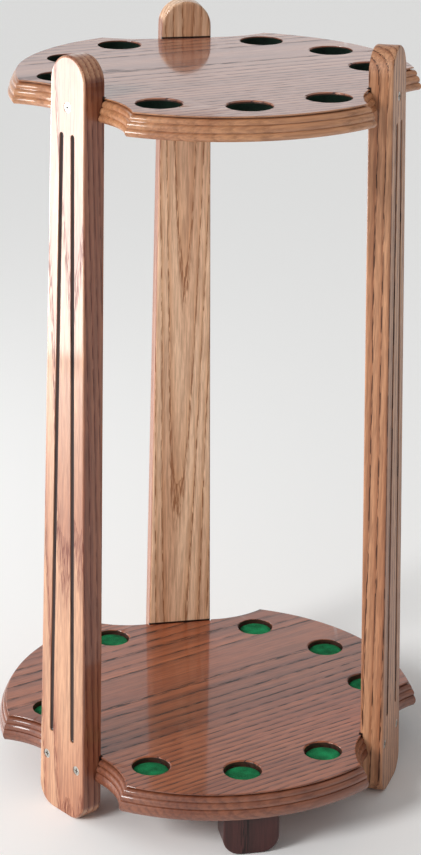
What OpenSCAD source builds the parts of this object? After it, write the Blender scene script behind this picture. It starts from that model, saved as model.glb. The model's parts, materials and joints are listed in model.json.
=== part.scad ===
// Free-standing round floor rack for nine billiard cues.
// Two three-lobed moulded oak plates are held apart by three flat tapered posts that lean inwards.
// Cues drop through the lined holes of the top plate and stand in the felt-bottomed sockets of the
// base plate. Origin: on the rack's centre line at floor level. +Z up, back post towards +Y.

/* [Overall] */
// Height from the floor to the tips of the posts
total_h = 710; // [600:5:900]
// Inward lean of the posts, and of the cues that stand in the rack, in degrees
lean = 1.5; // [0:0.1:3]

/* [Base plate] */
// Radius of the lobes at the sharp upper rim
base_rim_r = 198; // [185:1:230]
// Thickness of the base plate
base_t = 24; // [20:1:32]
// Clear height of the base plate above the floor
foot_h = 39; // [25:1:80]

/* [Top plate] */
// Radius of the lobes at the sharp upper rim
top_rim_r = 177; // [170:1:200]
// Thickness of the top plate
top_t = 20; // [18:1:28]
// How far the posts stand above the top plate
post_rise = 34; // [26:1:60]

/* [Plate outline] */
// Radius of the coves cut beside the posts
cove_r = 85; // [60:1:110]
// Distance from a post's edge to the deepest point of its coves
cove_gap = 8; // [4:1:12]
// Depth of the seat cut into the upper rim for each post
seat_depth = 1.5; // [0:0.5:4]
// Side clearance of a post in its seat
seat_clear = 0.2; // [0:0.1:0.5]
// How far the lowest bead stands out beyond the upper rim
mould_out = 7; // [5:0.5:9]
// Height of the upper and middle moulding bands together
mould_h = 13; // [11:0.5:13]

/* [Posts] */
// Width of a post at the floor
post_w_foot = 66; // [60:1:72]
// Width of a post at its tip
post_w_tip = 46; // [42:1:54]
// Thickness of a post
post_t = 22; // [16:1:26]
// Radius from the centre line to a post's inner face, at the floor
post_r = 162; // [155:1:170]
// Rounding of the post's long edges
post_edge_r = 2; // [1:0.5:4]
// Radius of the post's two lower corners
post_corner_r = 20; // [12:1:26]

/* [Flutes] */
// Width of a flute
flute_w = 5.5; // [3:0.5:8]
// Depth of a flute
flute_depth = 2.5; // [1:0.5:4]
// Distance from a post's edge to the middle of a flute
flute_inset = 16.5; // [12:0.5:18]
// Distance from the top plate down to the flutes' upper ends
flute_top_gap = 12; // [3:1:40]
// Distance from the base plate's upper face up to the flutes' lower ends
flute_bottom_gap = 14; // [3:1:60]

/* [Cue holes] */
// Radius of the ring of sockets at the base plate's upper face
socket_ring_r = 156; // [148:1:160]
// Angle between neighbouring cues of one lobe, in degrees
socket_step = 31.3; // [28:0.1:33]
// Diameter of a butt socket
socket_d = 35; // [30:0.5:36]
// Depth of a butt socket above its felt
socket_depth = 4.5; // [3:0.5:8]
// Thickness of a felt pad
pad_t = 3.5; // [2:0.5:6]
// Width of the ledge round a felt pad
pad_ledge = 0.7; // [0.3:0.1:2]
// Diameter of a shaft hole in the top plate, bare
shaft_hole_d = 39.5; // [37.5:0.5:41]
// Thickness of the felt lining of a shaft hole
lining_t = 1.25; // [0.5:0.05:1.5]
// Rounding of the rims of all cue holes
rim_round = 1; // [0.5:0.1:2]

/* [Lobe feet] */
// Width of a lobe foot
foot_w = 52; // [40:1:60]
// Thickness of a lobe foot
foot_t = 28; // [20:1:32]
// Radius from the centre line to a lobe foot's outer face
foot_r = 198; // [185:1:200]
// Radius of a lobe foot's two lower corners
foot_corner_r = 17; // [8:1:20]

/* [Screws] */
// Head diameter of a wood screw
screw_head_d = 9; // [7:0.5:11]
// Shank diameter of a wood screw
screw_d = 4.5; // [3.5:0.5:5]
// Length of a post screw
screw_len = 50; // [40:1:60]
// Depth of a screw head below the wood's face
head_sink = 0.4; // [0:0.1:1]
// Distance between the two lower screws of a post
screw_pair_gap = 44; // [36:1:48]
// Distance between the two screws of a lobe foot
foot_screw_gap = 24; // [16:1:28]
// Depth of the counterbore under a lobe foot's screws
foot_counterbore = 12; // [4:1:20]

/* [Hidden] */
$fn = 72;
big = 4 * total_h;

top_z = total_h - post_rise;            // upper face of the top plate
base_z = foot_h + base_t;               // upper face of the base plate
lobe_angles = [270, 30, 150];           // front, right and left lobes
post_angles = [90, 210, 330];           // back, left and right posts
cue_angles = [for (a = lobe_angles) for (i = [-1:1]) a + i * socket_step];

post_len = total_h / cos(lean);
post_taper = atan((post_w_foot - post_w_tip) / 2 / post_len);
shaft_ring_r = socket_ring_r - (top_z - base_z) * tan(lean);
pad_d = socket_d - 2 * pad_ledge;
lining_len = (top_t - 2 * rim_round) / cos(lean) - (shaft_hole_d + 2) * tan(lean);
head_h = (screw_head_d - screw_d) / 2;
top_screw_z = top_z - top_t / 2;
base_screw_z = base_z - base_t / 2;
base_screw_v = [-screw_pair_gap / 2, screw_pair_gap / 2];
foot_screw_len = foot_h - foot_counterbore + base_t / 2;
round_fn = 24;

oak = "peru";
felt_green = "seagreen";
lining_green = "darkslategray";
steel = "silver";

// ---- shared geometry ----

// Half width of a post at height z above the floor
function post_half_w(z) = (post_w_foot + (post_w_tip - post_w_foot) * z / total_h) / 2;

// Radius to a post's inner face at height z
function post_face_r(z) = post_r - z * tan(lean);

// Steps of the moulded edge of a plate of thickness t, each as
// [depth of its lower edge, how far out from the rim]
function moulding(t) = [
    [1.2, 0], [2.2, -0.7],                                                           // rim and quirk
    [mould_h * 0.27, mould_out * 0.26], [mould_h * 0.5, mould_out * 0.37],           // upper band
    [mould_h * 0.57, mould_out * 0.29],                                              // groove
    [mould_h * 0.69, mould_out * 0.6], [mould_h * 0.94, mould_out * 0.71],           // middle band
    [mould_h * 1.01, mould_out * 0.63],                                              // groove
    [mould_h + 2, mould_out * 0.9], [t - 1.5, mould_out], [t, mould_out - 0.8]];     // lower bead

// Places its children at a post: X outwards from the inner face, Y across the post, Z up along it
module at_post(angle) {
    rotate([0, 0, angle]) translate([post_r, 0, 0]) rotate([0, -lean, 0]) children();
}

// Places its children on a cue's leaning axis, with their origin at the height z
module at_cue(angle, z) {
    rotate([0, 0, angle])
        translate([socket_ring_r - (z - base_z) * tan(lean), 0, z])
            rotate([0, -lean, 0]) children();
}

// Outline of a hole's rounded rim, as [radius, height] points from the wall up to the face at z = 0
function rim_points(d) =
    [for (i = [0:3]) [d / 2 + rim_round * (1 - cos(30 * i)), rim_round * (sin(30 * i) - 1)]];

// Cutter for a round hole of this depth, with a rounded rim at z = 0
module rimmed_hole(d, depth) {
    rotate_extrude()
        polygon(concat([[0, -depth], [d / 2, -depth]], rim_points(d), [[d / 2 + rim_round, 2], [0, 2]]));
}

// Disc with softly rounded long edges, laid along X: a corner of a post or foot
module soft_disc(r, t) {
    rotate([0, 90, 0]) rotate_extrude($fn = 2 * round_fn)
        polygon(concat(
            [[0, 0]],
            [for (i = [0:3]) [r - post_edge_r * (1 - sin(30 * i)), post_edge_r * (1 - cos(30 * i))]],
            [for (i = [0:3]) [r - post_edge_r * (1 - cos(30 * i)), t - post_edge_r * (1 - sin(30 * i))]],
            [[0, t]]));
}

// ---- plates ----

// Outline of a plate whose upper face is at the height z, grown by out: a disc with two coves at each post
module plate_outline(rim_r, z, out) {
    cove_u = post_face_r(z) + seat_depth + cove_r;
    cove_v = post_half_w(z) + cove_gap;
    difference() {
        circle(r = rim_r + out);
        for (a = post_angles, s = [-1, 1])
            rotate(a) translate([cove_u, s * cove_v]) circle(r = cove_r - out);
    }
}

// Blank with its upper face at the height z and a moulded edge in fine steps
module plate_blank(rim_r, t, z) {
    steps = moulding(t);
    for (i = [0:len(steps) - 1])
        translate([0, 0, z - steps[i][0]])
            linear_extrude(steps[i][0] - (i == 0 ? 0 : steps[i - 1][0])) plate_outline(rim_r, z, steps[i][1]);
}

// Straight-sided tapered seat for a post, open outwards
module seat_cutter() {
    rotate([90, 0, 90]) linear_extrude(3 * post_t)
        polygon([for (s = [-1, 1], end = [0, 1])
            let (z = (s > 0 ? 1 - end : end) * total_h) [s * (post_half_w(z) + seat_clear), z / cos(lean)]]);
}

// A plate with its upper face at the height z: the blank less its post seats and screw pilots
module plate_body(rim_r, t, z, screw_v) {
    difference() {
        plate_blank(rim_r, t, z);
        for (a = post_angles) {
            at_post(a) seat_cutter();
            for (v = screw_v) at_post_screw(a, v, z - t / 2) screw_solid(screw_len);
        }
    }
}

module base_plate() {
    color(oak) difference() {
        plate_body(base_rim_r, base_t, base_z, base_screw_v);
        for (a = cue_angles) at_cue(a, base_z) {
            rimmed_hole(socket_d, socket_depth);
            translate([0, 0, -socket_depth - pad_t]) cylinder(h = pad_t + 1, d = pad_d);
        }
        for (a = lobe_angles, s = [-1, 1])
            at_foot_screw(a, s) cylinder(h = foot_screw_len, d = screw_d);
    }
}

module top_plate() {
    color(oak) difference() {
        plate_body(top_rim_r, top_t, top_z, [0]);
        for (a = cue_angles) {
            at_cue(a, top_z) rimmed_hole(shaft_hole_d, top_t * 0.7);
            at_cue(a, top_z - top_t) mirror([0, 0, 1]) rimmed_hole(shaft_hole_d, top_t * 0.7);
        }
    }
}

// ---- felt ----

module felt_pad(i) {
    color(felt_green) at_cue(cue_angles[i], base_z)
        translate([0, 0, -socket_depth - pad_t]) cylinder(h = pad_t, d = pad_d);
}

module hole_lining(i) {
    color(lining_green) at_cue(cue_angles[i], top_z - top_t / 2) difference() {
        cylinder(h = lining_len, d = shaft_hole_d, center = true);
        cylinder(h = lining_len + 2, d = shaft_hole_d - 2 * lining_t, center = true);
    }
}

// ---- posts ----

// Tapered board with a full-round top, rounded lower corners and soft edges
module post_board() {
    tip_r = (post_w_foot / 2 * cos(post_taper) - post_len * sin(post_taper)) / (1 - sin(post_taper));
    corner_y = post_w_foot / 2 - post_corner_r * (1 + sin(post_taper)) / cos(post_taper);
    hull() {
        translate([0, 0, post_len - tip_r]) soft_disc(tip_r, post_t);
        for (s = [-1, 1])
            translate([0, s * corner_y, post_corner_r - 1]) soft_disc(post_corner_r, post_t);
    }
}

// Round-ended flute running parallel to the post's edge on side s
module flute_cutter(s) {
    z_low = (base_z + flute_bottom_gap + flute_w / 2) / cos(lean);
    z_high = (top_z - top_t - flute_top_gap - flute_w / 2) / cos(lean);
    y_low = s * (post_half_w(z_low * cos(lean)) - flute_inset);
    y_high = s * (post_half_w(z_high * cos(lean)) - flute_inset);
    run = norm([z_high - z_low, y_high - y_low]);
    translate([post_t + flute_w / 2 - flute_depth, y_low, z_low])
        rotate([atan((y_low - y_high) / (z_high - z_low)), 0, 0]) {
            cylinder(h = run, d = flute_w, $fn = round_fn);
            sphere(d = flute_w, $fn = round_fn);
            translate([0, 0, run]) sphere(d = flute_w, $fn = round_fn);
        }
}

module post(angle) {
    color(oak) difference() {
        at_post(angle) post_board();
        translate([0, 0, -big / 2]) cube([big, big, big], center = true);
        for (s = [-1, 1]) at_post(angle) flute_cutter(s);
        at_post_screw(angle, 0, top_screw_z) screw_clearance();
        for (v = base_screw_v) at_post_screw(angle, v, base_screw_z) screw_clearance();
    }
}

// ---- lobe feet ----

// Places its children under a lobe foot's screw, at the floor of its counterbore
module at_foot_screw(angle, s) {
    rotate([0, 0, angle]) translate([foot_r - foot_t / 2, s * foot_screw_gap / 2, foot_counterbore])
        children();
}

module lobe_foot(angle) {
    color(oak) difference() {
        rotate([0, 0, angle]) translate([foot_r - foot_t, 0, 0]) hull()
            for (s = [-1, 1], z = [foot_corner_r, foot_h + foot_corner_r])
                translate([0, s * (foot_w / 2 - foot_corner_r), z]) soft_disc(foot_corner_r, foot_t);
        translate([0, 0, foot_h + big / 2]) cube([big, big, big], center = true);
        for (s = [-1, 1]) at_foot_screw(angle, s) {
            mirror([0, 0, 1]) cylinder(h = foot_counterbore + 1, d = screw_head_d + 1);
            screw_solid(foot_screw_len);
        }
    }
}

// ---- screws ----

// Countersunk screw standing on the face of its head
module screw_solid(length) {
    cylinder(h = head_h, d1 = screw_head_d, d2 = screw_d);
    cylinder(h = length, d = screw_d);
}

module wood_screw(length) {
    difference() {
        screw_solid(length);
        for (a = [0, 90]) rotate([0, 0, a])
            cube([screw_head_d * 0.55, screw_head_d * 0.14, 1.4 * head_h], center = true);
    }
}

// Places its children on a post's screw line: head outwards, shank towards the centre line
module at_post_screw(angle, v, z) {
    at_post(angle) translate([post_t - head_sink, v, z / cos(lean)]) rotate([0, -90, 0]) children();
}

module screw_clearance() {
    screw_solid(post_t + 1);
    mirror([0, 0, 1]) cylinder(h = post_t, d = screw_head_d);
}

module screws_top() {
    color(steel) for (a = post_angles) at_post_screw(a, 0, top_screw_z) wood_screw(screw_len);
}

module screws_base() {
    color(steel) for (a = post_angles, v = base_screw_v)
        at_post_screw(a, v, base_screw_z) wood_screw(screw_len);
}

module screws_feet() {
    color(steel) for (a = lobe_angles, s = [-1, 1]) at_foot_screw(a, s) wood_screw(foot_screw_len);
}

// ---- assembly ----

base_plate();
top_plate();
post(post_angles[0]);  // post_back
post(post_angles[1]);  // post_left
post(post_angles[2]);  // post_right
lobe_foot(lobe_angles[0]);  // foot_front
lobe_foot(lobe_angles[1]);  // foot_right
lobe_foot(lobe_angles[2]);  // foot_left
screws_top();
screws_base();
screws_feet();
for (i = [0:len(cue_angles) - 1])
    felt_pad(i);
for (i = [0:len(cue_angles) - 1])
    hole_lining(i);
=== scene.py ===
import json
import math
import random

import bmesh
import bpy
from mathutils import Euler, Matrix, Vector


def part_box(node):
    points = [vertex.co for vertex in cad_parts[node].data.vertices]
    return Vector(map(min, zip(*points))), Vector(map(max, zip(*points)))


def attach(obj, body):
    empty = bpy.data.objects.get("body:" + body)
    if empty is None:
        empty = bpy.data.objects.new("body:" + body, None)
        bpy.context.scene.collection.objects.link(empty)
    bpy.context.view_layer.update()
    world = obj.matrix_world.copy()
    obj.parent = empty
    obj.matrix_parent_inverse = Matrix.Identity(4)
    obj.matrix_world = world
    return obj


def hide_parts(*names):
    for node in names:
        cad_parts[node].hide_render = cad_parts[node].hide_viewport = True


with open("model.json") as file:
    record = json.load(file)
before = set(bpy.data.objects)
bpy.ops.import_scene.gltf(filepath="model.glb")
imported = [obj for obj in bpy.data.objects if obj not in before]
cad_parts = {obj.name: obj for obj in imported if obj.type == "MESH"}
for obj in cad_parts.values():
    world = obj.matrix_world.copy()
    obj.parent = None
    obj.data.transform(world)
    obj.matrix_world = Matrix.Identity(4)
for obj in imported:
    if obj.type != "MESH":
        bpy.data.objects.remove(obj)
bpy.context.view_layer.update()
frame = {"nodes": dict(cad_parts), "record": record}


# ---- base plate ----------------------------------------------------------------
# A round board of solid red oak, glued up from planks whose grain runs across the rack. Its edge is
# cut to a rim and three rounded bands by a router, with two coves beside each post, and it is
# stained brown and sprayed with gloss lacquer. Nine shallow sockets are bored into it.

MM = 0.001                                               # one millimetre in metres
ROOT = "root"                                            # the rack's only body
HEIGHT = 710                                             # length of a post, mm
POST_FOOT_W, POST_TIP_W = 66, 46                         # width of a post at the floor and at its tip, mm
POST_R = 162                                             # radius to a post's inner face at the floor, mm
LEAN = math.radians(1.5)                                 # inward lean of the posts
MOULD_OUT = 7                                            # how far a moulding reaches past its rim, mm
BASE_LOW, BASE_TOP = [corner.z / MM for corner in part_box("base_plate")]
BASE_RIM_R = -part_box("base_plate")[0].y / MM - MOULD_OUT
mounts = {mount["name"]: mount for mount in frame["record"]["mounts"]}


def linear(hex_colour):
    """sRGB hex to the linear colour that a shader takes."""
    values = [int(hex_colour[i:i + 2], 16) / 255 for i in (1, 3, 5)]
    return [v / 12.92 if v <= 0.04045 else ((v + 0.055) / 1.055) ** 2.4 for v in values] + [1]


def add(tree, kind, inputs=None, stops=(), **settings):
    """Adds a node with its settings, sets or links its inputs, and gives a ramp its colour stops."""
    node = tree.nodes.new(kind)
    for key, value in settings.items():
        setattr(node, key, value)
    for key, value in (inputs or {}).items():
        if isinstance(value, bpy.types.NodeSocket):
            tree.links.new(value, node.inputs[key])
        else:
            node.inputs[key].default_value = value
    for i, (position, colour) in enumerate(stops):
        if i == len(node.color_ramp.elements):
            node.color_ramp.elements.new(position)
        node.color_ramp.elements[i].position = position
        node.color_ramp.elements[i].color = linear(colour)
    return node


def stained_oak(name, early, late, pore, turn, heart, rings, marks=None, lacquer=1.0, grain=1.0):
    """Red oak, planed, stained and lacquered. turn is the rotation that brings the grain to the
    texture's Z, heart is where the tree's centre then lies in mm, and rings is a year ring's width.
    Each ring starts with a row of open pores, 0.3 mm wide and 5 to 20 mm long, that hold the stain.
    They are drawn 0.8 mm wide so that they show, and grain is how strongly. The lacquer is a clear
    coat that gives sharp reflections over the duller wood and breaks over the pores. marks(tree,
    board, colour) adds darker places, partly painted shade."""
    material = bpy.data.materials.new(name)
    material.use_nodes = True
    tree = material.node_tree
    tree.nodes.clear()
    place = add(tree, "ShaderNodeTexCoord").outputs["Object"]
    turned = add(tree, "ShaderNodeVectorRotate", {"Vector": place, "Rotation": turn},
                 rotation_type="EULER_XYZ").outputs[0]
    board = add(tree, "ShaderNodeVectorMath", {0: turned, 1: [v * MM for v in heart]},
                operation="SUBTRACT").outputs[0]

    # Wood is 20 times longer along the grain, and its year rings sway a little over some 60 mm.
    fibre = add(tree, "ShaderNodeMapping", {"Vector": board, "Scale": (1, 1, 0.05)}).outputs[0]
    sway = add(tree, "ShaderNodeTexNoise", {"Vector": fibre, "Scale": 1 / (62.5 * MM), "Detail": 2,
                                            "Roughness": 0.5}).outputs["Color"]
    wavy = add(tree, "ShaderNodeVectorMath", {0: sway, 1: (16 * MM, 16 * MM, 0), 2: fibre},
               operation="MULTIPLY_ADD").outputs[0]
    ring_repeat = math.tau / 20                          # a wave of scale 1 repeats at this distance
    year = add(tree, "ShaderNodeTexWave",
               {"Vector": wavy, "Scale": ring_repeat / (rings * MM), "Distortion": 0.5, "Detail": 3,
                "Detail Scale": 2.0},
               wave_type="RINGS", rings_direction="Z", wave_profile="SAW").outputs["Fac"]
    colour = add(tree, "ShaderNodeValToRGB", {"Fac": year},
                 [(0.0, late), (0.2, early), (0.55, early), (1.0, late)]).outputs["Color"]

    # Stain takes unevenly, in patches some 30 mm wide and in streaks of 2 to 3 mm.
    for width, detail, roughness, strength, stops in (
            (29.4, 2, 0.5, 0.7, [(0.35, "#D6BEB0"), (0.6, "#FFFFFF")]),
            (2.38, 3, 0.6, 0.45, [(0.38, "#A8978E"), (0.58, "#FFFFFF")])):
        blotch = add(tree, "ShaderNodeTexNoise", {"Vector": fibre, "Scale": 1 / (width * MM),
                                                  "Detail": detail, "Roughness": roughness})
        tone = add(tree, "ShaderNodeValToRGB", {"Fac": blotch.outputs["Fac"]}, stops).outputs["Color"]
        colour = add(tree, "ShaderNodeMix", {0: strength, 6: colour, 7: tone}, data_type="RGBA",
                     blend_type="MULTIPLY").outputs[2]

    # The pores crowd into the first part of each ring and are sparse and faint in the rest.
    cells = add(tree, "ShaderNodeTexNoise", {"Vector": fibre, "Scale": 1 / (0.8 * MM), "Detail": 1,
                                             "Roughness": 0.5}).outputs["Fac"]
    open_cells = add(tree, "ShaderNodeMapRange", {"Value": cells, "From Min": 0.45, "From Max": 0.52})
    row = add(tree, "ShaderNodeMapRange", {"Value": year, "From Min": 0.24, "From Max": 0.13,
                                           "To Min": 0.16 * grain, "To Max": 0.95 * grain})
    pores = add(tree, "ShaderNodeMath", {0: open_cells.outputs[0], 1: row.outputs[0]},
                operation="MULTIPLY").outputs[0]
    colour = add(tree, "ShaderNodeMix", {0: pores, 6: colour, 7: linear(pore)},
                 data_type="RGBA").outputs[2]
    if marks:
        colour = marks(tree, turned, colour)
    dents = add(tree, "ShaderNodeBump", {"Height": pores, "Strength": 0.25, "Distance": 0.3 * MM},
                invert=True).outputs[0]
    film = add(tree, "ShaderNodeMath", {0: pores, 1: -0.85 * lacquer, 2: lacquer},
               operation="MULTIPLY_ADD").outputs[0]
    shader = add(tree, "ShaderNodeBsdfPrincipled", {
        "Base Color": colour, "Roughness": 0.5, "IOR": 1.5, "Specular IOR Level": 0.3 + 0.2 * lacquer,
        "Coat Weight": film, "Coat Roughness": 0.08, "Coat IOR": 1.5, "Normal": dents})
    add(tree, "ShaderNodeOutputMaterial", {"Surface": shader.outputs[0]})
    return material


def shade(piece, crisp):
    """Smooth shading, with the edges sharper than crisp degrees and the borders of broad flat faces
    kept crisp, and normals that point outwards."""
    broad = 30 * 100 * MM * MM                           # 30 square centimetres
    work = bmesh.new()
    work.from_mesh(piece.data)
    bmesh.ops.remove_doubles(work, verts=work.verts, dist=1e-6)
    bmesh.ops.recalc_face_normals(work, faces=work.faces)
    for face in work.faces:
        face.smooth = True
    for edge in work.edges:
        edge.smooth = (len(edge.link_faces) == 2 and edge.calc_face_angle(0) < math.radians(crisp)
                       and max(face.calc_area() for face in edge.link_faces) < broad)
    work.to_mesh(piece.data)
    work.free()


def new_piece(name, vertices, faces, material, crisp=32):
    """A mesh piece in metres from vertices in mm."""
    mesh = bpy.data.meshes.new(name)
    mesh.from_pydata([Vector(v) * MM for v in vertices], [], faces)
    piece = bpy.data.objects.new(name, mesh)
    bpy.context.scene.collection.objects.link(piece)
    mesh.materials.append(material)
    shade(piece, crisp)
    return piece


def joined(rings, closed=False):
    """Quads between rings of points, with both ends capped, or the last joined to the first."""
    count, vertices, faces = len(rings[0]), [p for ring in rings for p in ring], []
    for i in range(len(rings) - (0 if closed else 1)):
        a, b = i * count, ((i + 1) % len(rings)) * count
        for j in range(count):
            k = (j + 1) % count
            faces.append((a + j, a + k, b + k, b + j))
    if not closed:
        faces.append(tuple(range(count)))
        faces.append(tuple(reversed(range((len(rings) - 1) * count, len(rings) * count))))
    return vertices, faces


def plate_edge(rim_r, top, out):
    """A plate's outline in mm, grown by out, as one loop of points. At each post, u points outwards
    and v along the edge. The post stands in a flat seat, with thin gaps beside and behind it, and
    a round cove starts on either side."""
    side_gap, face_gap, cove_r, cove_start, cove_inset = 1.0, 1.2, 85, 1.5, 8
    half_w = (POST_FOOT_W - (POST_FOOT_W - POST_TIP_W) * top / HEIGHT) / 2 + side_gap
    face = POST_R - top * math.tan(LEAN)                 # radius to the post's inner face
    seat, cove_u, cove_v = face - face_gap, face + cove_start + cove_r, half_w - side_gap + cove_inset
    cove, lobe = cove_r - out, rim_r + out
    reach = math.hypot(cove_u, cove_v)
    along = (lobe ** 2 - cove ** 2 + reach ** 2) / (2 * reach)
    corner = math.atan2(cove_v, cove_u) + math.acos(along / lobe)
    end = Vector((lobe * math.cos(corner), lobe * math.sin(corner)))
    first_turn = math.asin((half_w - cove_v) / cove)     # turns round the cove's centre, from -u
    last_turn = math.atan2(end.y - cove_v, cove_u - end.x)
    turns = [first_turn + (last_turn - first_turn) * i / 30 for i in range(31)]
    side = [Vector((cove_u - cove * math.cos(turn), cove_v + cove * math.sin(turn))) for turn in turns]
    mirrored = [Vector((p.x, -p.y)) for p in reversed(side)]
    loop = []
    for post in (90, 210, 330):
        phi = math.radians(post)
        u, v = Vector((math.cos(phi), math.sin(phi))), Vector((-math.sin(phi), math.cos(phi)))
        for p in mirrored + [Vector((seat, -half_w)), Vector((seat, half_w))] + side:
            loop.append(u * p.x + v * p.y)
        for i in range(1, 56):
            a = phi + corner + (math.radians(120) - 2 * corner) * i / 56
            loop.append(Vector((math.cos(a), math.sin(a))) * lobe)
    return loop


def band(start, end, bulge, count=7):
    """Points of a rounded band from start to end, [out, down] in mm, bulging sideways."""
    a, b = Vector(start), Vector(end)
    normal = Vector((b.y - a.y, a.x - b.x)).normalized()
    return [tuple(a.lerp(b, i / count) + normal * bulge * math.sin(math.pi * i / count))
            for i in range(count + 1)]


def moulding(thickness):
    """The router-cut edge: rim, quirk, two bands with grooves after them, and a bead, as [out, down]."""
    return ([(-0.9, 0), (-0.25, 0.12), (0, 0.5), (0, 1.0), (-3.0, 1.2), (-3.0, 2.5)]
            + band((0.6, 2.7), (2.9, 6.6), 0.8) + [(2.1, 7.0), (2.3, 7.5)]
            + band((3.6, 7.9), (5.2, 12.6), 0.7) + [(4.3, 13.0), (4.3, 13.6)]
            + band((5.4, 14.0), (5.2, thickness - 0.2), 1.6, 10) + [(4.0, thickness)])


def revolved(profile, mount_name, top, count=64):
    """Rings of [radius, height] points round a mount's axis. Heights are from the plate's face."""
    mount = mounts[mount_name]
    axis = Vector(mount["axis"]).normalized()
    centre = Vector(mount["pos_m"]) / MM
    centre += axis * ((top - centre.z) / axis.z)
    turn = Vector((0, 0, 1)).rotation_difference(axis)
    circle = [(math.cos(math.tau * i / count), math.sin(math.tau * i / count)) for i in range(count)]
    return [[centre + turn @ Vector((r * x, r * y, h)) for x, y in circle] for r, h in profile]


def rounded_rim(hole_r, face, side=1):
    """A hole's rim, rounded to 1 mm, from its wall to the plate's upper (1) or lower (-1) face, as
    [radius, height]."""
    turns = [math.radians(degrees) for degrees in (0, 30, 60, 90)]
    return [(hole_r + 1 - math.cos(a), face - side * (1 - math.sin(a))) for a in turns]


def plate(name, node, rim_r, low, top, woods, hole_profile, hole_names):
    """The moulded board with its rimmed holes cut through or into it. woods are the materials of its
    faces, its moulded edge and the walls of its holes."""
    thickness = top - low
    rings = [[(p.x, p.y, top - down) for p in plate_edge(rim_r, top, out)]
             for out, down in moulding(thickness)]
    piece = new_piece(name, *joined(rings), woods[0])
    cutters = [new_piece("cut_" + hole, *joined(revolved(hole_profile, hole, top)), woods[0])
               for hole in hole_names]
    for cutter in cutters:
        hole = piece.modifiers.new("hole", "BOOLEAN")
        hole.object, hole.solver = cutter, "EXACT"
    view = bpy.context.evaluated_depsgraph_get()
    cut = bpy.data.meshes.new_from_object(piece.evaluated_get(view))
    piece.modifiers.clear()
    piece.data = cut
    for cutter in cutters:
        bpy.data.objects.remove(cutter)
    shade(piece, 32)
    cut.materials.clear()
    for wood in woods:
        cut.materials.append(wood)

    # The walls of the holes lie within wall_r of their axes, and their rims within rim_end. Past
    # the rims, what isn't flat or lies deeper than depth has the moulding's wood, the underside too.
    wall_r, rim_end, depth, flat = 19.9 * MM, 22 * MM, 1.0, 0.98
    axes = [(Vector(mounts[hole]["pos_m"]), Vector(mounts[hole]["axis"]).normalized())
            for hole in hole_names]
    for face in cut.polygons:
        near = min((face.center - spot).cross(axis).length for spot, axis in axes)
        below = top - face.center.z / MM
        wall = near < wall_r and depth < below < thickness - depth
        edge = near > rim_end and (abs(face.normal.z) < flat or below > depth)
        face.material_index = 2 if wall else 1 if edge else 0
    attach(piece, ROOT)
    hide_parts(node)


def across(degrees):
    """The turn that brings grain across the rack, at this angle from X, to the texture's Z."""
    upright = Euler((0, math.radians(-90), 0)).to_matrix()
    return (upright @ Euler((0, 0, math.radians(-degrees))).to_matrix()).to_euler()


base_cut = {"turn": across(23), "heart": (110, 60, 0), "rings": 5.2}
base_woods = [
    stained_oak("red oak, stained, gloss lacquer, base plate", "#AE6039", "#8E4A2B", "#2C120A", **base_cut),
    stained_oak("red oak, stained, gloss lacquer, base moulding", "#915539", "#844A32", "#4A2417",
                **base_cut, grain=0.3),
    # The socket walls are drawn dark as painted shade inside the sockets.
    stained_oak("red oak end grain, painted shade, base socket walls", "#4A2C20", "#3A2118", "#1E0F0A",
                **base_cut, lacquer=0.3)]
socket_profile = ([(16.8, -8), (16.8, -4.5), (17.5, -4.5)] + rounded_rim(17.5, 0)
                  + [(18.9, 0.35), (18.9, 2)])
plate("base_board", "base_plate", BASE_RIM_R, BASE_LOW, BASE_TOP, base_woods, socket_profile,
      [f"butt_socket_{i}" for i in range(1, 10)])


# ---- top plate -----------------------------------------------------------------
# The smaller board over the base plate, of the same oak and with the same moulded edge. Nine holes
# go right through it, with rims rounded over above and below.

TOP_LOW, TOP_TOP = [corner.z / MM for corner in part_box("top_plate")]
TOP_RIM_R = -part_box("top_plate")[0].y / MM - MOULD_OUT
top_cut = {"turn": across(14), "heart": (-560, 60, 0), "rings": 6.5}
top_woods = [
    stained_oak("red oak, stained, gloss lacquer, top plate", "#C07E60", "#A3624A", "#3A171C", **top_cut),
    stained_oak("red oak, stained, gloss lacquer, top moulding", "#CE9368", "#C2885C", "#7A4830",
                **top_cut, grain=0.3),
    # The hole walls are drawn dark as painted shade inside the holes.
    stained_oak("red oak end grain, painted shade, top hole walls", "#5A3626", "#46281B", "#24120C",
                **top_cut, lacquer=0.3)]
lower_rim = rounded_rim(19.75, TOP_LOW - TOP_TOP, -1)
through_profile = [(20.9, -22.4)] + lower_rim[::-1] + rounded_rim(19.75, 0) + [(21.1, 0.35), (21.1, 2)]
plate("top_board", "top_plate", TOP_RIM_R, TOP_LOW, TOP_TOP, top_woods, through_profile,
      [f"shaft_hole_{i}" for i in range(1, 10)])


# ---- posts ---------------------------------------------------------------------
# Three flat boards of the same oak, planed 22 mm thick, tapered, with a full-round top, two
# round-nosed flutes, rounded edges and grain that runs along them. They are screwed into seats in
# the plates' edges, where thin gaps show, with painted shade on the posts along the joints.

POST_T = 22                                              # thickness of a post, mm
POST_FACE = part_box("post_back")[1].y / MM                # how far out a post's outer face reaches, mm


def deeper(tree, colour, tint, limits):
    """The wood's colour with a darker tint where every value is past its limit, used for the posts'
    painted shade and darker flutes. A limit is [value, where the tint starts, where it is full], in mm."""
    mask = 1.0
    for value, start, full in limits:
        past = add(tree, "ShaderNodeMapRange", {"Value": value, "From Min": start * MM,
                                                "From Max": full * MM}).outputs[0]
        mask = add(tree, "ShaderNodeMath", {0: past, 1: mask}, operation="MULTIPLY").outputs[0]
    return add(tree, "ShaderNodeMix", {0: mask, 6: colour, 7: linear(tint)}, data_type="RGBA",
               blend_type="MULTIPLY").outputs[2]


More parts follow.
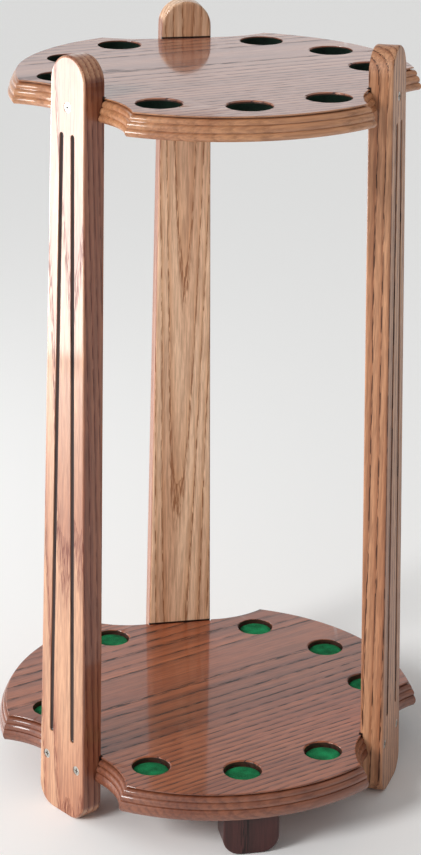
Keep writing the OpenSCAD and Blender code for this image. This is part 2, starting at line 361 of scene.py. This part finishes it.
def post_marks(side_shade):
    """The flutes are drawn darker, and painted shade lies on the inner face along the joints with the
    plates. The sides show the rings edge on, and side_shade paints shade on them."""
    flute_end, flute_side, flute_depth = 644, 18, 2.5    # top end, widest reach and depth of the flutes
    inner = POST_FACE - POST_T

    def marks(tree, board, colour):
        place = add(tree, "ShaderNodeSeparateXYZ", {0: board})
        height = place.outputs["Z"]
        depth = add(tree, "ShaderNodeMath", {0: height, 1: math.tan(LEAN), 2: place.outputs["X"]},
                    operation="MULTIPLY_ADD").outputs[0]
        width = add(tree, "ShaderNodeMath", {0: place.outputs["Y"]}, operation="ABSOLUTE").outputs[0]
        taper = (POST_FOOT_W - POST_TIP_W) / 2 / HEIGHT
        spread = add(tree, "ShaderNodeMath", {0: height, 1: taper, 2: width},
                     operation="MULTIPLY_ADD").outputs[0]
        # The flutes are drawn darker.
        colour = deeper(tree, colour, "#47291E", [
            (depth, POST_FACE - 0.4, POST_FACE - 1), (width, flute_side + 0.5, flute_side),
            (depth, POST_FACE - flute_depth - 1.5, POST_FACE - flute_depth - 1),
            (height, flute_end + 18, flute_end + 14)])
        # Painted shade on the post's inner face along each plate's joint.
        for low, top in ((BASE_LOW, BASE_TOP), (TOP_LOW, TOP_TOP)):
            colour = deeper(tree, colour, "#2A1A12", [
                (height, low - 1.6, low - 1.2), (height, top + 1.6, top + 1.2),
                (depth, inner + 3.5, inner + 2.5)])
        # Painted shade on the sides, as side_shade.
        side = POST_FOOT_W / 2
        return deeper(tree, colour, side_shade, [(spread, side - 1.4, side - 0.4)])
    return marks


# The back post's colours are much lighter than the others', partly as painted light where it faces the key
# light. side_shade paints shade on the sides of the back and left posts.
for node, angle, heart, early, late, pore, side_shade, lacquer in (
        ("post_back", 90, (140, 8, 0), "#FDD9B6", "#EBBE96", "#9A6844", "#B8968A", 0.5),
        ("post_left", 210, (60, 25, 0), "#D6A37E", "#B87A56", "#74371F", "#C4A296", 0.9),
        ("post_right", 330, (100, -90, 0), "#D8A27B", "#B67C57", "#452416", "#FFFFFF", 0.3)):
    post_oak = stained_oak(f"red oak, stained, gloss lacquer, {node}", early, late, pore,
                           (0, 0, math.radians(-angle)), heart, 6.0, post_marks(side_shade), lacquer)
    frame["nodes"][node].data.materials.clear()
    frame["nodes"][node].data.materials.append(post_oak)


# ---- lobe feet -----------------------------------------------------------------
# Short oak blocks screwed under the lobes of the base plate, with their grain upright and their
# lower corners rounded. They are drawn much darker than the posts, as painted shade under the plate.

for node, angle in (("foot_front", 270), ("foot_right", 30), ("foot_left", 150)):
    foot_oak = stained_oak(f"red oak, painted shade, gloss lacquer, {node}", "#4C2220", "#371614", "#1E0D0A",
                           (0, 0, math.radians(-angle)), (120, 20, 0), 6.0, lacquer=0.3)
    frame["nodes"][node].data.materials.clear()
    frame["nodes"][node].data.materials.append(foot_oak)


# ---- felt pads -----------------------------------------------------------------
# Discs punched from green wool felt, glued to the floors of the butt sockets. Felt gives a soft
# dull surface with short matted fibres that catch the light at the edges.

def wool_felt(name, light, dark, sheen):
    """Pressed wool felt: matted fibres about 0.3 mm across, drawn 0.8 mm so that they show, and
    worn lighter in patches some 11 mm wide."""
    material = bpy.data.materials.new(name)
    material.use_nodes = True
    tree = material.node_tree
    tree.nodes.clear()
    place = add(tree, "ShaderNodeTexCoord").outputs["Object"]
    matted = add(tree, "ShaderNodeTexNoise", {"Vector": place, "Scale": 1 / (0.833 * MM), "Detail": 3,
                                              "Roughness": 0.7}).outputs["Fac"]
    worn = add(tree, "ShaderNodeTexNoise", {"Vector": place, "Scale": 1 / (11.1 * MM),
                                            "Detail": 2}).outputs["Fac"]
    both = add(tree, "ShaderNodeMath", {0: matted, 1: worn}, operation="MULTIPLY").outputs[0]
    colour = add(tree, "ShaderNodeValToRGB", {"Fac": both}, [(0.12, dark), (0.42, light)]).outputs["Color"]
    nap = add(tree, "ShaderNodeBump", {"Height": matted, "Strength": 0.6, "Distance": 0.6 * MM})
    shader = add(tree, "ShaderNodeBsdfPrincipled", {
        "Base Color": colour, "Roughness": 0.95, "IOR": 1.45, "Specular IOR Level": 0.2,
        "Sheen Weight": sheen, "Sheen Roughness": 0.5, "Sheen Tint": linear("#7FC79A"),
        "Normal": nap.outputs[0]})
    add(tree, "ShaderNodeOutputMaterial", {"Surface": shader.outputs[0]})
    return material


pad_felt = wool_felt("green wool felt, pressed", "#1A9A5E", "#0B4E2D", 0.12)
pad_profile = [(16.6, -7.9), (16.7, -5.6), (16.3, -4.9), (15.6, -4.6), (13, -4.5), (8, -4.5), (2, -4.5)]
fray = random.Random(7)
for i in range(1, 10):
    rings = revolved(pad_profile, f"butt_socket_{i}", BASE_TOP, 96)
    for ring in rings[1:4]:
        for p in ring:
            p += Vector((fray.uniform(-0.08, 0.08), fray.uniform(-0.08, 0.08), fray.uniform(-0.12, 0.08)))
    pad = new_piece(f"pad_felt_{i}", *joined(rings), pad_felt, 80)
    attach(pad, ROOT)
    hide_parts(f"felt_pad_{i}")


# ---- hole linings --------------------------------------------------------------
# Strips of dark green felt glued round the walls of the holes in the top plate, so that the cue
# shafts aren't scratched. Their cut edges stop just short of the rounded rims.

lining_felt = wool_felt("dark green wool felt, pressed", "#0E2419", "#050D09", 0.05)
lining_profile = [(19.7, -18.2), (19.2, -18.35), (18.65, -18.0), (18.55, -17.5), (18.55, -2.5),
                  (18.65, -2.0), (19.2, -1.65), (19.7, -1.8)]
for i in range(1, 10):
    rings = revolved(lining_profile, f"shaft_hole_{i}", TOP_TOP, 96)
    strip = new_piece(f"lining_felt_{i}", *joined(rings, closed=True), lining_felt, 80)
    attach(strip, ROOT)
    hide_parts(f"hole_lining_{i}")


# ---- screws --------------------------------------------------------------------
# Zinc-plated steel wood screws with countersunk heads and cross recesses, sunk a little below the
# wood. Plating gives them a bright, slightly soft shine, duller in spots about 2 mm wide.

zinc = bpy.data.materials.new("zinc-plated steel, bright")
zinc.use_nodes = True
tree = zinc.node_tree
tree.nodes.clear()
place = add(tree, "ShaderNodeTexCoord").outputs["Object"]
spots = add(tree, "ShaderNodeTexNoise", {"Vector": place, "Scale": 1 / (2 * MM), "Detail": 3}).outputs["Fac"]
plating = add(tree, "ShaderNodeValToRGB", {"Fac": spots}, [(0.3, "#A9A59C"), (0.6, "#D9D7D1")])
dullness = add(tree, "ShaderNodeMapRange", {"Value": spots, "To Min": 0.2, "To Max": 0.42})
shader = add(tree, "ShaderNodeBsdfPrincipled", {
    "Base Color": plating.outputs["Color"], "Metallic": 1.0, "Roughness": dullness.outputs[0]})
add(tree, "ShaderNodeOutputMaterial", {"Surface": shader.outputs[0]})
for node in ("screws_top", "screws_base", "screws_feet"):
    frame["nodes"][node].data.materials.clear()
    frame["nodes"][node].data.materials.append(zinc)


# ---- floor, light and camera ---------------------------------------------------
# A plain pale studio floor, a soft key light from the left and front, a low softbox on the left
# whose reflection lies on the lacquer, and a white surround that is brighter behind the rack.

floor_paint = bpy.data.materials.new("matt white studio floor")
floor_paint.use_nodes = True
tree = floor_paint.node_tree
tree.nodes.clear()
shader = add(tree, "ShaderNodeBsdfPrincipled", {"Base Color": linear("#FAFAF9"), "Roughness": 0.9,
                                                "Specular IOR Level": 0.1})
add(tree, "ShaderNodeOutputMaterial", {"Surface": shader.outputs[0]})
reach = 30000                                            # how far the floor runs each way, mm
floor = new_piece("studio_floor", [(-reach, -reach, 0), (reach, -reach, 0), (reach, reach, 0),
                                   (-reach, reach, 0)], [(0, 1, 2, 3)], floor_paint)

surround = bpy.data.worlds.new("white surround, brightest behind the rack")
surround.use_nodes = True
tree = surround.node_tree
tree.nodes.clear()
direction = add(tree, "ShaderNodeTexCoord").outputs["Generated"]
behind = add(tree, "ShaderNodeVectorMath", {0: direction, 1: (0.20, 0.96, 0.18)}, operation="DOT_PRODUCT")
glow = add(tree, "ShaderNodeMapRange", {"Value": behind.outputs["Value"], "From Min": 0.89,
                                        "From Max": 0.985, "To Min": 0.40, "To Max": 1.0},
           interpolation_type="SMOOTHSTEP")
backdrop = add(tree, "ShaderNodeBackground", {"Color": linear("#FFFFFF"), "Strength": glow.outputs[0]})
add(tree, "ShaderNodeOutputWorld", {"Surface": backdrop.outputs[0]})
bpy.context.scene.world = surround


def lamp(name, kind, place, aim, power, **settings):
    """A lamp at place, in metres, that shines towards aim."""
    data = bpy.data.lights.new(name, kind)
    data.energy = power
    for key, value in settings.items():
        setattr(data, key, value)
    holder = bpy.data.objects.new(name, data)
    holder.location = place
    holder.rotation_mode = "QUATERNION"
    holder.rotation_quaternion = (Vector(aim) - Vector(place)).to_track_quat("-Z", "Y")
    bpy.context.scene.collection.objects.link(holder)


lamp("key_left_front", "SUN", (-1.6, -0.72, 1.04), (0, 0, 0), 2.0, angle=math.radians(22))
lamp("box_left", "AREA", (-1.38, 0.6, 0.32), (-0.1, -0.05, 0.45), 20, shape="RECTANGLE", size=1.3, size_y=0.6)

lens = bpy.data.cameras.new("camera")
lens.sensor_width, lens.lens = 36, 97.904
lens.clip_start, lens.clip_end = 0.1, 100
camera = bpy.data.objects.new("camera", lens)
bpy.context.scene.collection.objects.link(camera)
place = Vector((-0.4018, -1.9860, 1.1104))
heading, tilt, roll = math.radians(-11.3806), math.radians(20.835), math.radians(0.6166)
forward = Vector((-math.sin(heading) * math.cos(tilt), math.cos(heading) * math.cos(tilt), -math.sin(tilt)))
level = forward.cross(Vector((0, 0, 1))).normalized()
plumb = level.cross(forward)
right = level * math.cos(roll) + plumb * math.sin(roll)
up = plumb * math.cos(roll) - level * math.sin(roll)
camera.matrix_world = Matrix.Translation(place) @ Matrix((right, up, -forward)).transposed().to_4x4()
bpy.context.scene.camera = camera
bpy.context.scene.view_settings.view_transform = "Standard"

bpy.context.view_layer.update()
